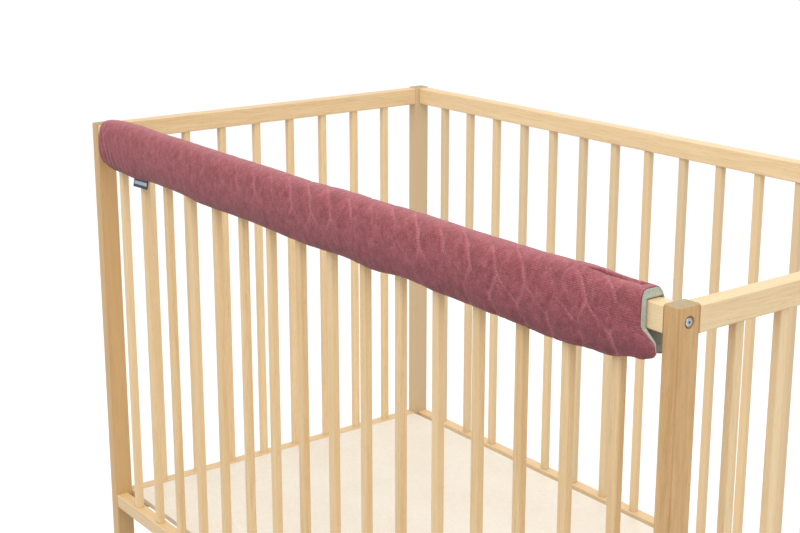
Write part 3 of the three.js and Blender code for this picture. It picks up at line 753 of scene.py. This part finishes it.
# Painted shade: darker and greyer toward the low edges, in cloudy patches too, partly the pile's lie.
low_face_painted_shade = between(tree, cloth[1], -92, -46, 1, 0)
colour = blend(tree, calc(tree, "MULTIPLY", low_face_painted_shade, 0.36), colour, paint(106, 64, 74))
low_face_cloudy_shade = calc(tree, "MULTIPLY", low_face_painted_shade, between(tree, noise(tree, spot, 75, 3, 0.6), 0.45, 0.62, 0, 0.42))
colour = blend(tree, low_face_cloudy_shade, colour, paint(98, 58, 70))
# Painted highlight: the top of the cover paler where the light and sheen fall on it.
colour = blend(tree, between(tree, cloth[1], -30, 2, 0, 0.2), colour, paint(192, 126, 128))
for mark, share, tint in ((brushed, 0.46, BRUSHED), (thread, 0.62, THREAD)):
    colour = blend(tree, calc(tree, "MULTIPLY", calc(tree, "MULTIPLY", mark, share), shown), colour, tint)
# Painted shadow in the crease on top, with the pile pressed darker there as well.
colour = blend(tree, calc(tree, "MULTIPLY", cloth[2], 0.75), colour, CREASE_PAINTED_SHADE)
tree.links.new(colour, main.inputs["Base Color"])
tree.links.new(between(tree, nap, 0.3, 0.7, 0.78, 0.95), main.inputs["Roughness"])
soft = bump(tree, calc(tree, "MULTIPLY_ADD", rib, 0.26, pile), 0.5, 0.0007)
tree.links.new(bump(tree, fine_pile, 0.5, 0.0003, soft), main.inputs["Normal"])
main.inputs["Specular IOR Level"].default_value = 0.2
main.inputs["Sheen Weight"].default_value = 0.45
main.inputs["Sheen Roughness"].default_value = 0.4
main.inputs["Sheen Tint"].default_value = paint(240, 196, 198)

cut_x = spaced_x()[:, None]
cut = section_at(cut_x[:, 0])
outer_u = np.concatenate([np.linspace(-1, -0.24, 31)[:-1], np.linspace(-0.24, 0.08, 39)[:-1],
                          np.linspace(0.08, 1, 29)])[None, :]
inner_u = outer_u[:, ::INNER_EACH]
roll_in = END_ROLL - np.sqrt(np.maximum(END_ROLL ** 2 - np.maximum(
    END_ROLL - np.minimum(cut_x - FIRST, LAST - cut_x), 0) ** 2, 0))
outer_y, outer_z = standing_off(cut, outer_u, relief(cut, cut_x, outer_u) - roll_in)
inner_y, inner_z = inside_of(cut, cut_x, inner_u)
outer_points = place(cut, cut_x, outer_y, outer_z)
inner_points = place(cut, cut_x, inner_y, inner_z)[:, ::-1]
points = np.concatenate([outer_points, inner_points], 1)
u_of = np.concatenate([outer_u, inner_u[:, ::-1]], 1)
ring_count, cuts = points.shape[1], points.shape[0]
faces = swept(ring_count, cuts)
inner_count = inner_u.shape[1]
for base_index, turned in ((0, False), ((cuts - 1) * ring_count, True)):
    for i in range(inner_count - 1):
        outer_part = [base_index + i * INNER_EACH + k for k in range(INNER_EACH + 1)]
        inner_part = [base_index + ring_count - 2 - i, base_index + ring_count - 1 - i]
        face = outer_part + inner_part
        faces.append(tuple(reversed(face)) if turned else tuple(face))
girth = girth_at(cut, u_of)
behind, deep = crease_at(cut, cut_x, u_of)
# Where the crease on top is deepest: the mask for its painted shadow.
folded = deep * pressed(behind - 0.2, 1.2)
cloth_marks = np.stack([cut_x + wander(cut_x, girth), girth, folded], -1).reshape(-1, 3)
cover = body("quilted_velvet_cover", points.reshape(-1, 3), faces, velvet, cloth=cloth_marks)
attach(cover, "root")
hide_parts("cover_shell")

# THE LINING
# A strip of smooth sage cotton, sewn to the velvet along both low edges and round both end seams, so it
# shows as a pale band in the open right end. It lies on the rail.
LINING_THICK = 1.2
LINING_GAP, LINING_SEAM_GAP = 0.45, 0.05
BULGE, PROUD, BULGE_ENDS = 3.2, 0.7, (21, 33)
THREAD_PITCH = 0.7

cotton, tree, main = shader("sage_lining")
cloth = cloth_of(tree)
spot = add(tree, "TexCoord").outputs["Object"]
warp = calc(tree, "SINE", calc(tree, "MULTIPLY", cloth[0], 2 * math.pi / THREAD_PITCH))
weft = calc(tree, "SINE", calc(tree, "MULTIPLY", cloth[1], 2 * math.pi / THREAD_PITCH))
weave = calc(tree, "MULTIPLY", warp, weft)
slub = noise(tree, add(tree, "Mapping", {"Vector": spot, "Scale": (0.3, 1, 1)}).outputs["Vector"], 420, 3)
shade = noise(tree, spot, 40, 3)
colour = ramp(tree, calc(tree, "MULTIPLY_ADD", weave, 0.06, slub),
              [(0.3, paint(168, 175, 162)), (0.7, paint(194, 199, 187))])
colour = blend(tree, between(tree, shade, 0.4, 0.7, 0, 0.3), colour, paint(160, 169, 155))
# Painted light: the back flap's inner face, shaded deep inside the cover, is painted paler toward its low edge.
colour = blend(tree, between(tree, cloth[2], 0.45, 0.7, 0, 0.85), colour, paint(232, 236, 228))
# Painted shade: the lining darkens in the last few millimetres of the mouth, beside the rail.
colour = blend(tree, calc(tree, "MULTIPLY", between(tree, cloth[0], LAST - 3.4, LAST - 1.5, 0.75, 0),
                          between(tree, cloth[2], 0.3, 0.45, 1, 0)), colour, paint(88, 92, 78))
tree.links.new(colour, main.inputs["Base Color"])
tree.links.new(between(tree, slub, 0.3, 0.7, 0.8, 0.92), main.inputs["Roughness"])
tree.links.new(bump(tree, calc(tree, "MULTIPLY_ADD", slub, 0.6, weave), 0.35, 0.0002),
               main.inputs["Normal"])
main.inputs["Sheen Weight"].default_value = 0.12
main.inputs["Specular IOR Level"].default_value = 0.25

mouth_steps = np.concatenate([BAND_DEPTH * np.linspace(0, 1, 12)[:-1] ** 2,
                              np.linspace(BAND_DEPTH, MOUTH_DEPTH, 10)])
straight = np.linspace(FIRST + MOUTH_DEPTH, LAST - MOUTH_DEPTH, 190)
lining_x = np.unique(np.concatenate([FIRST + mouth_steps, straight, LAST - mouth_steps]))[:, None]
lining_u = np.linspace(-1, 1, 65)[None, :]
cut = section_at(lining_x[:, 0])
face_y, face_z = inside_of(cut, lining_x, lining_u)
to_right = LAST - lining_x
bulge = PROUD + (BULGE - PROUD) * smooth(to_right, 0, BAND_DEPTH)
bulge = bulge * (1 - smooth(to_right, BAND_DEPTH, 4 * BAND_DEPTH))
step_y, step_z = np.gradient(face_y, axis=1), np.gradient(face_z, axis=1)
length = np.hypot(step_y, step_z)
to_mouth = smooth(np.minimum(lining_x - FIRST, LAST - lining_x), 0, MOUTH_DEPTH / 2)
gap = LINING_SEAM_GAP + (LINING_GAP - LINING_SEAM_GAP) * to_mouth


def moved_in(distance):
    y, z = face_y + step_z / length * distance, face_z - step_y / length * distance
    return place(cut, lining_x + bulge * (1 - smooth(-z, *BULGE_ENDS)), y, z)


def close_ends(faces, rings, cuts):
    """Closes both ends of a thin doubled skin, side to side."""
    for start, turned in ((0, False), ((cuts - 1) * rings, True)):
        for i in range(rings // 2 - 1):
            face = [start + k for k in (i, i + 1, rings - 2 - i, rings - 1 - i)]
            faces.append(tuple(reversed(face)) if turned else tuple(face))


points = np.concatenate([moved_in(gap), moved_in(gap + LINING_THICK)[:, ::-1]], 1)
ring_count, cuts = points.shape[1], points.shape[0]
faces = swept(ring_count, cuts)
close_ends(faces, ring_count, cuts)
u_of = np.concatenate([lining_u, lining_u[:, ::-1]], 1)
cloth_marks = np.stack(np.broadcast_arrays(lining_x, girth_at(cut, u_of), u_of), -1).reshape(-1, 3)
lining = body("sage_cotton_lining", points.reshape(-1, 3), faces, cotton, cloth=cloth_marks)
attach(lining, "root")
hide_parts("cover_lining")

# THE TAB
# A short length of woven navy tape with a plain pale band, folded double and caught in the seam of the
# front low edge. It is left blank.
TAPE_THICK = 0.35
TAPE_STEPS = 14
FOLD_RADIUS = 0.35
STANDS_OFF, WAVES = 0.42, 0.12

tape, tree, main = shader("navy_tape")
cloth = cloth_of(tree)
ribs = calc(tree, "SINE", calc(tree, "MULTIPLY", cloth[1], 2 * math.pi / 0.6))
twill = calc(tree, "SINE", calc(tree, "MULTIPLY", calc(tree, "ADD", cloth[0], cloth[1]), 2 * math.pi / 0.9))
threads = calc(tree, "MULTIPLY_ADD", ribs, 0.5, twill)
band = calc(tree, "MULTIPLY", between(tree, cloth[1], 3.4, 4.2), between(tree, cloth[1], 8.8, 9.6, 1, 0))
band = calc(tree, "MULTIPLY", band, between(tree, calc(tree, "ABSOLUTE", cloth[0]), 19, 20, 1, 0))
navy = ramp(tree, between(tree, threads, -1.5, 1.5), [(0, paint(26, 38, 58)), (1, paint(50, 66, 92))])
pale = ramp(tree, between(tree, threads, -1.5, 1.5), [(0, paint(150, 160, 172)), (1, paint(200, 208, 218))])
tree.links.new(blend(tree, band, navy, pale), main.inputs["Base Color"])
tree.links.new(between(tree, threads, -1.5, 1.5, 0.8, 0.65), main.inputs["Roughness"])
tree.links.new(bump(tree, threads, 0.4, 0.0001), main.inputs["Normal"])
main.inputs["Sheen Weight"].default_value = 0.1

low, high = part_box("label_tab")
drop, half_width, slope, caught, trail = 14, 22, 0.042, 2.4, 0.3
seam_z = (low[2] + high[2]) / 2 + (6 + caught) * MM
middle_x, middle_y = (low[0] + high[0]) / 2 + 3 * MM, (low[1] + high[1]) / 2
path = [(-FOLD_RADIUS, t) for t in np.linspace(0, drop - FOLD_RADIUS, TAPE_STEPS)]
path += [(-FOLD_RADIUS * math.cos(a), drop - FOLD_RADIUS + FOLD_RADIUS * math.sin(a))
         for a in np.linspace(0, math.pi, 9)[1:-1]]
path += [(FOLD_RADIUS, t) for t in np.linspace(drop - FOLD_RADIUS, 0, TAPE_STEPS)]
path = np.array(path)
run = np.concatenate([[0], np.cumsum(np.hypot(*np.diff(path, axis=0).T))])
turn = np.gradient(path, axis=0)
turn /= np.hypot(*turn.T)[:, None]
off = np.stack([turn[:, 1], -turn[:, 0]], 1) * TAPE_THICK / 2
loop = np.concatenate([path + off, (path - off)[::-1]])
run_of = np.concatenate([run, run[::-1]])
across = np.linspace(-half_width, half_width, 25)
points, marks = [], []
for x in across:
    for (out, down), along in zip(loop, run_of):
        lean = WAVES * math.sin(x / half_width * 2.2 + down / drop) - STANDS_OFF * (down / drop) ** 1.5
        points.append((middle_x + (x - slope * (drop / 2 - down) - trail * down) * MM,
                       middle_y + (out + lean) * MM, seam_z + (slope * x - down) * MM))
        marks.append((x, along, 0))
count = len(loop)
faces = swept(count, len(across))
close_ends(faces, count, len(across))
tab = body("woven_tab", points, faces, tape, cloth=np.array(marks))
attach(tab, "root")
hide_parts("label_tab")
